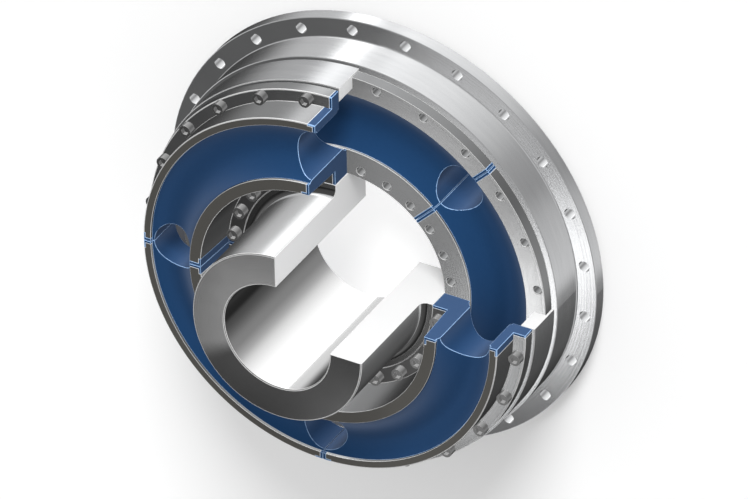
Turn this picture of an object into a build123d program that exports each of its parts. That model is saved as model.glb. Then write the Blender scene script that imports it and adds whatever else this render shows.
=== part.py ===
from build123d import *
import os
from math import cos, sin, radians

os.makedirs("parts", exist_ok=True)

# Flexible disc coupling between an engine flywheel and a shaft, as a display
# cutaway with a quarter of its front half taken out.
# Millimetres. +Z runs along the axis to the hub's nose, the flywheel face is
# z = 0, and the missing quarter lies between +X and +Y.

# Flywheel ring: outer bolting flange and the drum that stands on it
ring_od = 673.1
ring_flange_t = 21.0
bolt_edge = 15.875
ring_bolt_hole = 17.0
bolt_count = 24
wrench_room = 14.675
drum_front = 76.0
drum_root_fillet = 2.0
edge_chamfer = 1.0

# Spacer ring between the outer flanges, with a thin rim over the rear one
spacer_step = 4.5
spacer_t = 37.0
rim_t = 3.25
rim_clearance = 0.75
rim_end_clearance = 0.5

# Outer steel arcs of the two rubber elements
outer_flange_w = 18.5
outer_flange_t = 19.0
outer_wall = 11.5
outer_length = 66.0
arc_clearance = 1.0

# Hub
hub_length = 250.5
hub_bore = 166.0
hub_wall = 50.0
boss_step = 16.75
boss_clearance = 0.25
hub_flange_t = 16.0
hub_flange_clearance = 1.5
hub_fillet = 10.0
hub_chamfer = 1.5

# Inner steel arcs
inner_flange_w = 22.5
inner_flange_t = 33.0
inner_draft = 4.0
inner_wall = 17.5
inner_length = 104.5

# Rubber
rubber_lip_drop = 4.0
rubber_face_sag = 16.0
rubber_back_drop = 3.0
end_coat = 4.0
skin_t = 3.0
skin_length = 12.0
groove_skin = 3.0
joint_gap = 1.0
segments = 4

# Socket head cap screws
screw_d = 12.0
screw_hole_clearance = 0.75
thread_clearance = 0.1
head_d = 18.0
head_h = 12.0
socket_af = 10.0
socket_depth = 6.0
thread_tail = 22.0
inner_thread_tail = 15.0
tapped_extra = 4.0
drill_over = 1.0

# Radii, worked from the outside in for the ring and from the bore out for the hub
ring_r = ring_od / 2
ring_bolt_r = ring_r - bolt_edge
drum_r = ring_bolt_r - wrench_room
spacer_r = drum_r - spacer_step
rim_r = spacer_r - rim_t
outer_flange_r = rim_r - rim_clearance
outer_arc_r = outer_flange_r - outer_flange_w
outer_arc_in = outer_arc_r - outer_wall
ring_bore_r = outer_arc_r + arc_clearance
outer_screw_r = (outer_arc_r + outer_flange_r) / 2
hub_bore_r = hub_bore / 2
hub_r = hub_bore_r + hub_wall
boss_r = hub_r + boss_step
inner_bore_r = boss_r + boss_clearance
inner_recess_r = inner_bore_r + inner_flange_w
inner_lip_r = inner_recess_r + inner_draft
inner_back_r = inner_recess_r + inner_wall
inner_front_r = inner_lip_r + inner_wall
inner_screw_r = (inner_bore_r + inner_recess_r) / 2
hub_flange_r = inner_recess_r - hub_flange_clearance
hole_r = screw_d / 2 + screw_hole_clearance
tap_r = screw_d / 2 + thread_clearance

# Levels along the axis, stacked from the flywheel face
rear_flange_front = drum_front + outer_flange_t
spacer_front = rear_flange_front + spacer_t
front_flange_front = spacer_front + outer_flange_t
mid_z = (rear_flange_front + spacer_front) / 2
inner_flange_front = mid_z + inner_flange_t
hub_flange_front = mid_z - inner_flange_t
hub_rear = hub_flange_front - hub_flange_t
hub_front = hub_rear + hub_length
outer_lip_z = spacer_front + outer_length
inner_lip_z = mid_z + inner_length

# Angles
step = 360 / bolt_count
cut_angle = 90.0
segment = 360 / segments
all_angles = [(k + 0.5) * step for k in range(bolt_count)]
kept_angles = [a for a in all_angles if a > cut_angle]


def turned(points, start, sweep, corner=None, round_r=0):
    """Revolve an outline of (radius, height) points about Z, one corner rounded."""
    face = make_face(Polyline(*points, close=True))
    if corner:
        face = fillet(face.vertices().sort_by_distance(corner)[0], round_r)
    return Rot(0, 0, start) * revolve(Plane.XZ * face, Axis.Z, sweep)


def polar(radius, angle, z=0.0):
    """Place something at a radius, an angle and a height."""
    return Pos(radius * cos(radians(angle)), radius * sin(radians(angle)), z)


def holes(circle_r, radius, z0, z1, angles):
    """Straight round holes on a circle, with the drill running out at the top."""
    drill = Cylinder(radius, z1 + drill_over - z0, align=(Align.CENTER, Align.CENTER, Align.MIN))
    return [polar(circle_r, a, z0) * drill for a in angles]


def joint_slab(angle, half):
    """A flat slab along one joint plane, wide enough to trim a segment end."""
    slab = Box(ring_od, 2 * half, 3 * ring_od, align=(Align.MIN, Align.CENTER, Align.CENTER))
    return Rot(0, 0, angle) * slab


# Flywheel ring, one casting turned all over
ring = turned(
    [
        (ring_bore_r, 0),
        (ring_r - edge_chamfer, 0),
        (ring_r, edge_chamfer),
        (ring_r, ring_flange_t - edge_chamfer),
        (ring_r - edge_chamfer, ring_flange_t),
        (drum_r, ring_flange_t),
        (drum_r, drum_front - edge_chamfer),
        (drum_r - edge_chamfer, drum_front),
        (ring_bore_r, drum_front),
    ],
    0,
    360,
    (drum_r, ring_flange_t),
    drum_root_fillet,
)
ring -= holes(ring_bolt_r, ring_bolt_hole / 2, -drill_over, ring_flange_t, all_angles)
tapped_bottom = drum_front - thread_tail - tapped_extra
ring -= holes(outer_screw_r, tap_r, tapped_bottom, drum_front, all_angles)
export_step(ring, "parts/flywheel_ring.step")

# Spacer ring, three quarters of a turn
spacer = turned(
    [
        (ring_bore_r, rear_flange_front),
        (rim_r, rear_flange_front),
        (rim_r, drum_front + rim_end_clearance),
        (spacer_r, drum_front + rim_end_clearance),
        (spacer_r, spacer_front - edge_chamfer),
        (spacer_r - edge_chamfer, spacer_front),
        (ring_bore_r, spacer_front),
    ],
    cut_angle,
    360 - cut_angle,
)
spacer -= holes(outer_screw_r, hole_r, rear_flange_front - drill_over, spacer_front, kept_angles)
export_step(spacer, "parts/spacer_ring.step")

# Hub: long tube, boss that centres the inner arcs, and a flange behind them
hub = turned(
    [
        (hub_bore_r, hub_rear),
        (hub_flange_r, hub_rear),
        (hub_flange_r, hub_flange_front),
        (boss_r, hub_flange_front),
        (boss_r, inner_flange_front),
        (hub_r, inner_flange_front),
        (hub_r, hub_front - hub_chamfer),
        (hub_r - hub_chamfer, hub_front),
        (hub_bore_r + hub_chamfer, hub_front),
        (hub_bore_r, hub_front - hub_chamfer),
    ],
    cut_angle,
    360 - cut_angle,
    (hub_r, inner_flange_front),
    hub_fillet,
)
hub -= holes(inner_screw_r, tap_r, hub_rear - drill_over, hub_flange_front, kept_angles)
export_step(hub, "parts/hub.step")

# One rubber element segment: outer arc, inner arc and the rubber bonded between
outer_profile = [
    (outer_arc_in, spacer_front),
    (outer_flange_r, spacer_front),
    (outer_flange_r, front_flange_front - edge_chamfer),
    (outer_flange_r - edge_chamfer, front_flange_front),
    (outer_arc_r, front_flange_front),
    (outer_arc_r, outer_lip_z - edge_chamfer),
    (outer_arc_r - edge_chamfer, outer_lip_z),
    (outer_arc_in, outer_lip_z),
]
inner_profile = [
    (inner_bore_r, mid_z),
    (inner_back_r, mid_z),
    (inner_front_r, inner_lip_z),
    (inner_lip_r, inner_lip_z),
    (inner_recess_r, inner_flange_front),
    (inner_bore_r, inner_flange_front),
]
front_out = (outer_arc_in, outer_lip_z - rubber_lip_drop)
front_in = (inner_front_r, inner_lip_z - rubber_lip_drop)
back_out = (outer_arc_in, spacer_front + rubber_back_drop)
back_in = (inner_back_r, mid_z + rubber_back_drop)
front_mid = (
    (front_out[0] + front_in[0]) / 2,
    (front_out[1] + front_in[1]) / 2 - rubber_face_sag,
)
back_mid = (
    (back_out[0] + back_in[0]) / 2,
    (back_out[1] + back_in[1]) / 2 + rubber_face_sag,
)
bond = inner_wall / 3
rubber_wire = Wire(
    [
        ThreePointArc(front_out, front_mid, front_in),
        Line(front_in, (front_in[0] - bond, front_in[1])),
        Line((front_in[0] - bond, front_in[1]), (back_in[0] - bond, back_in[1])),
        Line((back_in[0] - bond, back_in[1]), back_in),
        ThreePointArc(back_in, back_mid, back_out),
        Line(back_out, front_out),
    ]
)
rubber_face = Plane.XZ * make_face(rubber_wire)
groove_r = (outer_arc_in - inner_front_r) / 2 - groove_skin
groove_mid = (outer_arc_in + inner_front_r) / 2


def element_segment(start):
    """Outer arc, inner arc and rubber of one quarter, from a start angle."""
    outer_blank = turned(outer_profile, start, segment)
    inner_blank = turned(inner_profile, start, segment)
    rubber = Rot(0, 0, start) * revolve(rubber_face, Axis.Z, segment)
    rubber = rubber + outer_blank + inner_blank
    skin_out = Pos(0, 0, front_flange_front) * (
        Cylinder(outer_arc_r + skin_t, outer_length, align=(Align.CENTER, Align.CENTER, Align.MIN))
        - Cylinder(outer_arc_r - skin_t, 3 * outer_length)
    )
    skin_in = Pos(0, 0, inner_flange_front) * Cylinder(
        inner_lip_r + skin_t, inner_length, align=(Align.CENTER, Align.CENTER, Align.MIN)
    )
    for end in (start, start + segment):
        coat = joint_slab(end, joint_gap / 2 + end_coat)
        near = joint_slab(end, joint_gap / 2 + skin_length)
        outer_blank -= coat
        outer_blank -= near & skin_out
        inner_blank -= coat
        inner_blank -= near & skin_in
        rubber -= joint_slab(end, joint_gap / 2)
        rubber -= polar(groove_mid, end) * Cylinder(groove_r, 3 * ring_od)
    rubber -= outer_blank
    rubber -= inner_blank
    spots = [a for a in all_angles + [b + 360 for b in all_angles] if start < a < start + segment]
    outer = outer_blank - holes(
        outer_screw_r, hole_r, spacer_front - drill_over, front_flange_front, spots
    )
    inner = inner_blank - holes(
        inner_screw_r, hole_r, mid_z - drill_over, inner_flange_front, spots
    )
    return outer, inner, rubber


# Front element: three segments, joints on the axes, the first quarter is absent
for k in range(segments - 1):
    outer, inner, rubber = element_segment(cut_angle + k * segment)
    export_step(outer, f"parts/front_outer_arc_{k + 1}.step")
    export_step(inner, f"parts/front_inner_arc_{k + 1}.step")
    export_step(rubber, f"parts/front_rubber_{k + 1}.step")

# Rear element: the same segments back to back, joints half a segment round
mirror_plane = Plane.XY.offset(mid_z)
for k in range(segments):
    outer, inner, rubber = element_segment(segment / 2 + k * segment)
    export_step(mirror(outer, about=mirror_plane), f"parts/rear_outer_arc_{k + 1}.step")
    export_step(mirror(inner, about=mirror_plane), f"parts/rear_inner_arc_{k + 1}.step")
    export_step(mirror(rubber, about=mirror_plane), f"parts/rear_rubber_{k + 1}.step")


def cap_screw(reach):
    """Socket head cap screw, seat at z = 0, shank downwards."""
    up = (Align.CENTER, Align.CENTER, Align.MIN)
    down = (Align.CENTER, Align.CENTER, Align.MAX)
    body = Cylinder(head_d / 2, head_h, align=up) + Cylinder(screw_d / 2, reach, align=down)
    socket = extrude(RegularPolygon(socket_af / 2, 6, major_radius=False), socket_depth)
    return body - Pos(0, 0, head_h - socket_depth) * socket


outer_screw = cap_screw(front_flange_front - drum_front + thread_tail)
outer_set = [polar(outer_screw_r, a, front_flange_front) * outer_screw for a in kept_angles]
export_step(Compound(children=outer_set), "parts/outer_screws.step")
inner_screw = cap_screw(inner_flange_front - hub_flange_front + inner_thread_tail)
inner_set = [polar(inner_screw_r, a, inner_flange_front) * inner_screw for a in kept_angles]
export_step(Compound(children=inner_set), "parts/inner_screws.step")
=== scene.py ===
import math

import bpy
from mathutils import Matrix, Vector


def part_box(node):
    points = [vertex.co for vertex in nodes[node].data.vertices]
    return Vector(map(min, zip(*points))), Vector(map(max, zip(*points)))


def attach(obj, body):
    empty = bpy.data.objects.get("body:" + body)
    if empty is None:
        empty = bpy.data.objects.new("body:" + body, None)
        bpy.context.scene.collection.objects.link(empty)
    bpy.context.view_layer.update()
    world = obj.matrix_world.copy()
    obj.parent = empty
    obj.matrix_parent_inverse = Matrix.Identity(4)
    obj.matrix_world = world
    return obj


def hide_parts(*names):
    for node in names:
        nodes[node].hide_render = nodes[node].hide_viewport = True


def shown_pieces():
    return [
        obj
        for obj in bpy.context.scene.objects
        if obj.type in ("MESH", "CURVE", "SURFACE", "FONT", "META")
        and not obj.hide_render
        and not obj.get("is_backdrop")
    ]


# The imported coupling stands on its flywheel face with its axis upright, in
# metres. The quarter cut out of its front half lies between +X and +Y.
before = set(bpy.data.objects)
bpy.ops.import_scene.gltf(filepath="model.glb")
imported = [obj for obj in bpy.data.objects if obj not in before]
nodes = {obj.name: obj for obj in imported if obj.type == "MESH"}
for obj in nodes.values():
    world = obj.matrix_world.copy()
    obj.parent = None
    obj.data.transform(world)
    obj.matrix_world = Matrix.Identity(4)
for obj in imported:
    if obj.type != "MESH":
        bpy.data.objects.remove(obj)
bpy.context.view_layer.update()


# Flywheel ring: one steel ring, turned and drilled with twenty-four holes,
# which is bolted flat against the engine's flywheel.
class Wire:
    """A shader socket that takes part in Python arithmetic."""

    def __init__(self, socket, tree):
        self.socket = socket
        self.tree = tree

    def math(self, operation, *others):
        node = self.tree.nodes.new("ShaderNodeMath")
        node.operation = operation
        for slot, value in zip(node.inputs, (self,) + others):
            plug(self.tree, value, slot)
        return Wire(node.outputs[0], self.tree)

    def __add__(self, other):
        return self.math("ADD", other)

    def __radd__(self, other):
        return self.math("ADD", other)

    def __sub__(self, other):
        return self.math("SUBTRACT", other)

    def __rsub__(self, other):
        return (self * -1).math("ADD", other)

    def __mul__(self, other):
        return self.math("MULTIPLY", other)

    def __rmul__(self, other):
        return self.math("MULTIPLY", other)

    def __truediv__(self, other):
        return self.math("DIVIDE", other)

    def step(self, low, high):
        """0 below low, 1 above high, smooth between."""
        node = self.tree.nodes.new("ShaderNodeMapRange")
        node.interpolation_type = "SMOOTHSTEP"
        plug(self.tree, self, node.inputs[0])
        node.inputs[1].default_value = low
        node.inputs[2].default_value = high
        return Wire(node.outputs[0], self.tree)


def plug(tree, value, slot):
    """Link a Wire, or set a plain number or colour."""
    if isinstance(value, Wire):
        tree.links.new(value.socket, slot)
    else:
        slot.default_value = value


class Finish:
    """A material whose nodes are added one method call at a time."""

    def __init__(self, name):
        self.material = bpy.data.materials.new(name)
        self.material.use_nodes = True
        self.tree = self.material.node_tree
        self.shader = self.tree.nodes["Principled BSDF"]
        self.x, self.y, self.z = self.split(self.node("ShaderNodeTexCoord", out="Object"))
        self.radius = (self.x * self.x + self.y * self.y).math("SQRT")
        self.normal = self.node("ShaderNodeNewGeometry", out="Normal")
        self.nx, self.ny, self.nz = self.split(self.normal)

    def node(self, kind, out=0, settings=None, **inputs):
        """Any node: its settings first, then the values or links of its sockets."""
        made = self.tree.nodes.new(kind)
        for key, value in (settings or {}).items():
            setattr(made, key, value)
        for key, value in inputs.items():
            slot = int(key[1:]) if key[1:].isdigit() else key.replace("_", " ")
            plug(self.tree, value, made.inputs[slot])
        return Wire(made.outputs[out], self.tree)

    def split(self, vector):
        made = self.tree.nodes.new("ShaderNodeSeparateXYZ")
        self.tree.links.new(vector.socket, made.inputs[0])
        return [Wire(o, self.tree) for o in made.outputs]

    def blend(self, amount, a, b):
        """Mix two colours."""
        made = self.tree.nodes.new("ShaderNodeMix")
        made.data_type = "RGBA"
        plug(self.tree, amount, made.inputs[0])
        plug(self.tree, a, made.inputs[6])
        plug(self.tree, b, made.inputs[7])
        return Wire(made.outputs[2], self.tree)

    def set(self, **values):
        for key, value in values.items():
            plug(self.tree, value, self.shader.inputs[key.replace("_", " ")])

    def patches(self, scale, detail):
        """Soft noise over the piece, 0 to 1. A larger scale is finer."""
        return self.node("ShaderNodeTexNoise", i2=scale, i3=detail)

    def on_top(self, slope):
        """1 where the surface faces the hub's nose more than slope, else 0."""
        return self.nz.math("GREATER_THAN", slope)

    def upright(self):
        """1 on the turned cylinders, 0 on the faces square to the axis."""
        return 1 - self.nz.math("ABSOLUTE").step(0.4, 0.6)

    def lathe_marks(self, pitch=0.0009, tilt=0.09):
        """A random lean of the surface, groove by groove, as a lathe tool leaves it."""
        flat = self.nz.math("ABSOLUTE").step(0.5, 0.8)
        along = self.radius * flat + self.z * (1 - flat)
        noise = self.node("ShaderNodeTexNoise", settings={"noise_dimensions": "1D"},
                          W=along * (1 / pitch), Scale=1.0, Detail=1.0, Roughness=0.5)
        lean = (noise - 0.5) * tilt
        push = self.node("ShaderNodeCombineXYZ", X=self.x / self.radius * lean * flat,
                         Y=self.y / self.radius * lean * flat, Z=lean * (1 - flat))
        total = self.node("ShaderNodeVectorMath", settings={"operation": "ADD"}, i0=self.normal, i1=push)
        self.set(Normal=self.node("ShaderNodeVectorMath", settings={"operation": "NORMALIZE"}, i0=total))


def grey(level):
    """A neutral colour."""
    return (level, level, level, 1)


def dressed(name, finish, edge_finish, round_over):
    """A copy of a CAD node with its edges broken, which stands for that node."""
    crisp_edge = math.radians(35)
    smooth_up_to = math.radians(32)
    bpy.ops.object.select_all(action="DESELECT")
    piece = bpy.data.objects.new(name + "_dressed", nodes[name].data.copy())
    bpy.context.collection.objects.link(piece)
    bpy.context.view_layer.objects.active = piece
    piece.select_set(True)
    bpy.ops.mesh.customdata_custom_splitnormals_clear()
    bpy.ops.object.mode_set(mode="EDIT")
    bpy.ops.mesh.select_all(action="SELECT")
    bpy.ops.mesh.remove_doubles(threshold=0.00001)
    bpy.ops.mesh.dissolve_limited(angle_limit=math.radians(0.4))
    bpy.ops.object.mode_set(mode="OBJECT")
    piece.data.materials.clear()
    piece.data.materials.append(finish.material)
    piece.data.materials.append(edge_finish.material)
    for face in piece.data.polygons:
        face.material_index = 0
    edge = piece.modifiers.new("edge", "BEVEL")
    edge.width = round_over
    edge.segments = 2
    edge.material = 1
    edge.limit_method = "ANGLE"
    edge.angle_limit = crisp_edge
    edge.use_clamp_overlap = "rubber" not in name
    bpy.ops.object.modifier_apply(modifier="edge")
    bpy.ops.object.shade_smooth_by_angle(angle=smooth_up_to)
    level = piece.modifiers.new("level", "WEIGHTED_NORMAL")
    level.weight = 100
    level.keep_sharp = True
    bpy.ops.object.modifier_apply(modifier="level")
    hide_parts(name)
    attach(piece, "root")
    return piece


turned_steel = Finish("turned_steel")
turned_steel.lathe_marks()
tone = turned_steel.patches(9.0, 3.0)
turned_steel.set(
    Base_Color=turned_steel.blend(tone, (0.50, 0.505, 0.515, 1), (0.60, 0.605, 0.61, 1)),
    Metallic=1.0,
    Roughness=0.16 + tone * 0.05,
)
for slot in nodes["flywheel_ring"].material_slots:
    slot.material = turned_steel.material

# Spacer ring and hub: turned steel like the ring, sawn open to show the
# section and pale on the cut. The spacer is clamped between the outer flanges,
# and the hub is screwed to the inner ones.
cut_steel = Finish("cut_steel")
cut_steel.lathe_marks()
tone = cut_steel.patches(9.0, 3.0)
bore_radius = 0.083
tube_reach = 0.14
boss_reach = 0.155
hub_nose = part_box("hub")[1][2]
saw_play = 0.0004

# Apart from the pale cut, these tones aren't known finishes: a dark half of the
# nose, a light and a dark side of the bore, a lighter tube, a dark shelf, and
# the spacer's inner wall as dark as the rubber.
on_x = cut_steel.x.math("ABSOLUTE").math("LESS_THAN", saw_play) * cut_steel.nx.math("GREATER_THAN", 0.9)
on_y = cut_steel.y.math("ABSOLUTE").math("LESS_THAN", saw_play) * cut_steel.ny.math("GREATER_THAN", 0.9)
sawn = on_x.math("MAXIMUM", on_y)
tube = (1 - cut_steel.radius.step(tube_reach, tube_reach + 0.001)) * cut_steel.upright()
bored = 1 - cut_steel.radius.step(bore_radius + 0.0002, bore_radius + 0.0006)
# Painted shade in the bore: the wall towards -X is painted near black, the rest is bright steel.
bore_painted_shade_side = (cut_steel.y * 0.25 - cut_steel.x).step(0.035, 0.085)
nose = cut_steel.z.math("GREATER_THAN", hub_nose - 0.001) * cut_steel.on_top(0.9)
# Painted reflection on the nose: its half towards +Y is painted lighter than the other half.
split_angle = math.radians(63)
nose_painted_reflection_half = (cut_steel.y * math.sin(split_angle) - cut_steel.x * math.cos(split_angle)) / cut_steel.radius
nose_painted_reflection_half = nose_painted_reflection_half.step(-0.15, 0.15)
# Painted shade in the recess: the hub's forward faces inside the boss, apart from the nose, are painted
# near black.
shelf_painted_shade = cut_steel.on_top(0.5) * cut_steel.radius.math("LESS_THAN", boss_reach) * (1 - nose)
outward = (cut_steel.nx * cut_steel.x + cut_steel.ny * cut_steel.y) / cut_steel.radius
inner_wall = outward.math("LESS_THAN", -0.5) * cut_steel.radius.math("GREATER_THAN", 0.2)

metal = cut_steel.blend(tone, (0.38, 0.385, 0.395, 1), (0.46, 0.465, 0.47, 1))
metal = cut_steel.blend(tube, metal, (0.55, 0.555, 0.56, 1))
metal = cut_steel.blend(bored, metal, cut_steel.blend(bore_painted_shade_side, grey(0.82), grey(0.01)))
metal = cut_steel.blend(shelf_painted_shade, metal, grey(0.09))
metal = cut_steel.blend(nose, metal, cut_steel.blend(nose_painted_reflection_half, grey(0.085), grey(0.30)))
metal = cut_steel.blend(inner_wall, metal, (0.01, 0.034, 0.09, 1))
# The cut faces are pale, and the one facing +Y is painted darker as painted shade.
pale_cut_and_painted_shade = cut_steel.blend(on_y, grey(0.86), grey(0.66))
cut_steel.set(
    Base_Color=cut_steel.blend(sawn, metal, pale_cut_and_painted_shade),
    Metallic=1 - sawn * 0.9 - inner_wall,
    Roughness=0.19 + tone * 0.06 + sawn * 0.22 - bored * 0.08,
)

# Painted highlight: the broken edges of the steel pieces are painted pale, as lines of light.
painted_highlight_edge = Finish("painted_highlight_edge")
edge_highlight_patches = painted_highlight_edge.patches(120.0, 3.0)
painted_highlight_edge.set(
    Base_Color=painted_highlight_edge.blend(edge_highlight_patches, grey(0.72), grey(0.88)),
    Metallic=0.75,
    Roughness=0.28 + edge_highlight_patches * 0.1,
)
for name in ("spacer_ring", "hub"):
    dressed(name, cut_steel, painted_highlight_edge, round_over=0.0009)

# Steel arcs of the rubber elements: turned steel, bonded to the rubber between
# them. Not known finishes: browner, duller lips, darker walls, a lighter rear
# flange, and a front inner flange that is dark round its screws.
arc_steel = Finish("arc_steel")
arc_steel.lathe_marks()
tone = arc_steel.patches(9.0, 3.0)
front_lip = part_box("front_outer_arc_1")[1][2]
rear_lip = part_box("rear_outer_arc_1")[0][2]
lip_depth = 0.003
front_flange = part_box("front_inner_arc_1")[0][2]
rear_flange_top = 0.1
screw_reach = 0.175

lip = arc_steel.z.math("GREATER_THAN", front_lip - lip_depth)
lip = lip.math("MAXIMUM", arc_steel.z.math("LESS_THAN", rear_lip + lip_depth))
lip = lip * arc_steel.nz.math("ABSOLUTE").math("GREATER_THAN", 0.5)
wall = arc_steel.upright()
in_front = arc_steel.z.math("GREATER_THAN", front_flange + 0.002)
# Painted shade in the recess: forward faces of the front inner flanges, within 175 mm of the axis, are
# painted near black.
recess_painted_shade = in_front * arc_steel.on_top(0.5) * (1 - arc_steel.radius.step(screw_reach, screw_reach + 0.001))
rear = (1 - wall) * (1 - arc_steel.z.step(rear_flange_top, rear_flange_top + 0.005))

metal = arc_steel.blend(tone, (0.27, 0.273, 0.277, 1), (0.33, 0.333, 0.335, 1))
metal = arc_steel.blend(wall, metal, (0.23, 0.233, 0.236, 1))
metal = arc_steel.blend(recess_painted_shade, metal, grey(0.11))
metal = arc_steel.blend(rear, metal, (0.56, 0.563, 0.566, 1))
arc_steel.set(
    Base_Color=arc_steel.blend(lip, metal, (0.11, 0.106, 0.097, 1)),
    Metallic=1 - lip * 0.4,
    Roughness=0.19 + tone * 0.06 + lip * 0.25 + recess_painted_shade * 0.1,
)
for name in nodes:
    if "_arc_" in name:
        dressed(name, arc_steel, painted_highlight_edge, round_over=0.0007)

# Rubber segments: moulded rubber bonded between the steel arcs, dark blue and
# a little glossy, with a fine painted highlight line, paler blue, along every edge.
blue_rubber = Finish("blue_rubber")
grain = blue_rubber.patches(60.0, 4.0)
blue_rubber.set(
    Base_Color=blue_rubber.blend(grain, (0.0075, 0.028, 0.074, 1), (0.0105, 0.036, 0.094, 1)),
    Roughness=0.40 + grain * 0.1,
)
blue_rubber.shader.inputs["IOR"].default_value = 1.8
blue_rubber.shader.inputs["Specular Tint"].default_value = (0.10, 0.38, 1.0, 1)

# Painted highlight: the broken rubber edges are painted a paler blue, as lines of light.
flash_line = Finish("flash_line")
edge_highlight_patches = flash_line.patches(150.0, 3.0)
flash_line.set(
    Base_Color=flash_line.blend(edge_highlight_patches, (0.24, 0.41, 0.68, 1), (0.32, 0.50, 0.78, 1)),
    Roughness=0.3 + edge_highlight_patches * 0.1,
)
for name in nodes:
    if "rubber" in name:
        dressed(name, blue_rubber, flash_line, round_over=0.0006)

# Socket head cap screws in two rings, which clamp the elements' flanges: steel
# that is darker than the rest, with a painted highlight along its edges.
screw_steel = Finish("screw_steel")
grain = screw_steel.patches(400.0, 3.0)
screw_steel.set(
    Base_Color=screw_steel.blend(grain, grey(0.19), grey(0.26)),
    Metallic=1.0,
    Roughness=0.24 + grain * 0.12,
)
for name in ("outer_screws", "inner_screws"):
    dressed(name, screw_steel, painted_highlight_edge, round_over=0.001)

# Plain pale floor just under the flywheel face. It glows inside the ring, so
# that the bore and the recess are seen against white.
bpy.ops.object.select_all(action="DESELECT")
bpy.ops.mesh.primitive_plane_add(size=60, location=(0, 0, -0.0005))
floor = bpy.context.object
floor.name = "floor"
pale = Finish("pale_floor")
glow = 1 - pale.radius.step(0.26, 0.29)
pale.set(
    Base_Color=grey(0.92),
    Roughness=0.8,
    Emission_Color=grey(1),
    Emission_Strength=glow * 0.6,
)
floor.data.materials.append(pale.material)
floor.visible_glossy = False
floor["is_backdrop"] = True

# Plain soft studio light: white all round for matt surfaces. Polished ones see
# a ring of cards below the horizon, as degrees round from twelve o'clock and
# brightness, and a dim ceiling with level cards. No piece mirrors another.
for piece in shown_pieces():
    piece.visible_glossy = False
world = bpy.data.worlds.new("studio")
bpy.context.scene.world = world
world.use_nodes = True
tree = world.node_tree
way = tree.nodes.new("ShaderNodeSeparateXYZ")
tree.links.new(tree.nodes.new("ShaderNodeTexCoord").outputs["Generated"], way.inputs[0])
east, north, high = [Wire(o, tree) for o in way.outputs]
ramp = tree.nodes.new("ShaderNodeValToRGB")
plug(tree, east.math("ARCTAN2", north) * (0.5 / math.pi) + 0.5, ramp.inputs[0])
brightest = 3
cards = [
    (-180, 0.09), (-158, 0.03), (-134, 0.05), (-118, 0.06), (-103, 0.14), (-94, 0.36),
    (-86, 0.6), (-78, 0.78), (-56, 0.80), (-51, 2.7), (-43, 2.7), (-38, 1.35),
    (-28, 1.35), (-23, 1.65), (-6, 1.4), (10, 1.3), (26, 1.1), (42, 0.86),
    (58, 0.55), (78, 0.46), (94, 0.72), (132, 1.0), (142, 0.22), (165, 0.13),
]
stops = ramp.color_ramp.elements
while len(stops) < len(cards):
    stops.new(0.5)
for stop, (clock, level) in zip(stops, cards):
    stop.position = clock / 360 + 0.5
    stop.color = grey(level / brightest)
below = Wire(ramp.outputs[0], tree) * brightest
# The ceiling is darker in the part that level faces mirror to the camera.
mirrored = Vector((-0.403, -0.587, 0.702))
shade = (east * mirrored.x + north * mirrored.y + high * mirrored.z).step(0.72, 0.9)
above = 0.6 - shade * 0.44
horizon = 0.9
matt_level = 0.7
up = high.step(0.05, 0.4)
down = (high * -1).step(0.05, 0.45)
glossy_level = below * down + above * up + (1 - down - up) * horizon
rays = tree.nodes.new("ShaderNodeLightPath")
glossy = Wire(rays.outputs["Is Glossy Ray"], tree)
back = tree.nodes["Background"]
back.inputs[0].default_value = grey(1)
plug(tree, glossy * glossy_level + (1 - glossy) * matt_level, back.inputs[1])


def level_card(name, x, y, width, depth, brightness):
    """A lit card hung level over the coupling, facing down."""
    hung_at = 0.94
    lamp = bpy.data.lights.new(name, "AREA")
    lamp.shape = "RECTANGLE"
    lamp.size = width
    lamp.size_y = depth
    lamp.energy = brightness * math.pi * width * depth
    lamp.use_shadow = False
    card = bpy.data.objects.new(name, lamp)
    bpy.context.collection.objects.link(card)
    card.location = (x, y, hung_at)


level_card("ring_card", -0.24, -0.725, width=0.11, depth=0.30, brightness=2.9)
level_card("flange_card", -0.165, -0.66, width=0.04, depth=0.12, brightness=4.0)
level_card("quarter_card", -0.385, -0.49, width=0.23, depth=0.24, brightness=1.0)

sun = bpy.data.lights.new("key", "SUN")
sun.energy = 3.0
sun.angle = math.radians(24)
key = bpy.data.objects.new("key", sun)
bpy.context.collection.objects.link(key)
key.rotation_euler = Vector((0.18, 0.88, 0.45)).to_track_quat("Z", "Y").to_euler()
key.visible_glossy = False

# Long-lens camera, high on the cut quarter's side and rolled a little, so the
# axis runs from the lower left to the upper right.
camera_data = bpy.data.cameras.new("camera")
camera = bpy.data.objects.new("camera", camera_data)
bpy.context.collection.objects.link(camera)
bpy.context.scene.camera = camera
camera_data.sensor_width = 36
camera_data.lens = 696.9584
camera_data.clip_end = 100
right = Vector((0.86985, -0.01713, -0.49302))
up = Vector((-0.26995, 0.81996, -0.50477))
toward = Vector((0.41291, 0.57216, 0.70862))
turn = Matrix((right, up, toward)).transposed()
camera.matrix_world = Matrix.Translation((8.2491, 11.412, 14.2028)) @ turn.to_4x4()
bpy.context.scene.view_settings.view_transform = "Standard"
